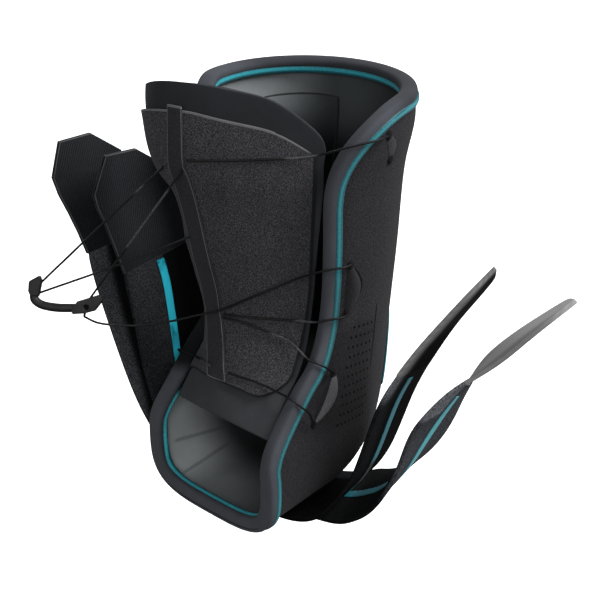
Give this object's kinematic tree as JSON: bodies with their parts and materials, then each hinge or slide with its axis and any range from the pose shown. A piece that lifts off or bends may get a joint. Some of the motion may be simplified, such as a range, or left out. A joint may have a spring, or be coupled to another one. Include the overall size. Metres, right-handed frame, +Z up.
{
  "type": "ankle splint",
  "caption": "Open-fronted padded ankle splint with a lace-up front flap, pull handle, stirrup straps and coloured edge piping.",
  "frame": {"origin": "middle of the ankle hollow, at the height of the ankle bones", "axes": "+Z up along the leg, -Y out of the foot opening towards the toes, +X towards the side that the long straps end on"},
  "size_m": [0.2291, 0.1664, 0.2093],
  "materials": {
    "shell": "heathered charcoal knit",
    "lining": "smooth mid grey lining",
    "binding": "smooth dark grey tape",
    "piping": "teal bead",
    "pad": "padded dark grey cloth",
    "cover": "coarse heathered cloth",
    "strip": "dark webbing",
    "strap": "black elastic webbing",
    "tab": "ribbed hook tape",
    "handle": "black moulded plastic",
    "lace": "black round cord"
  },
  "bodies": {
    "root": {"sleeve_shell": "shell", "sleeve_lining": "lining", "edge_binding": "binding", "outer_piping": "piping", "inner_piping": "piping", "tongue_pad": "pad", "tongue_cover": "cover", "strap_inner": "strap", "strap_outer": "strap", "hook_tab_left_front": "tab", "hook_tab_left_rear": "tab", "hook_tab_right_front": "tab", "hook_tab_right_rear": "tab", "tongue_strip": "strip", "back_pad": "lining", "heel_piping": "piping", "lace_guide_top_right": "shell", "lace_guide_upper_right": "shell", "lace_guide_upper_left": "shell", "lace_guide_lower_right": "shell", "lace_guide_lower_left": "shell", "stripe_left_front": "piping", "stripe_right_front": "piping", "stripe_right_rear": "piping", "stripe_right_under": "piping", "handle_clip_left": "handle", "handle_clip_right": "handle", "handle_grip": "handle", "lace_a": "lace", "lace_b": "lace", "lace_c": "lace", "lace_d": "lace", "lace_e": "lace", "lace_f": "lace", "lace_g": "lace", "lace_h": "lace", "lace_top": "lace"}
  },
  "joints": []
}
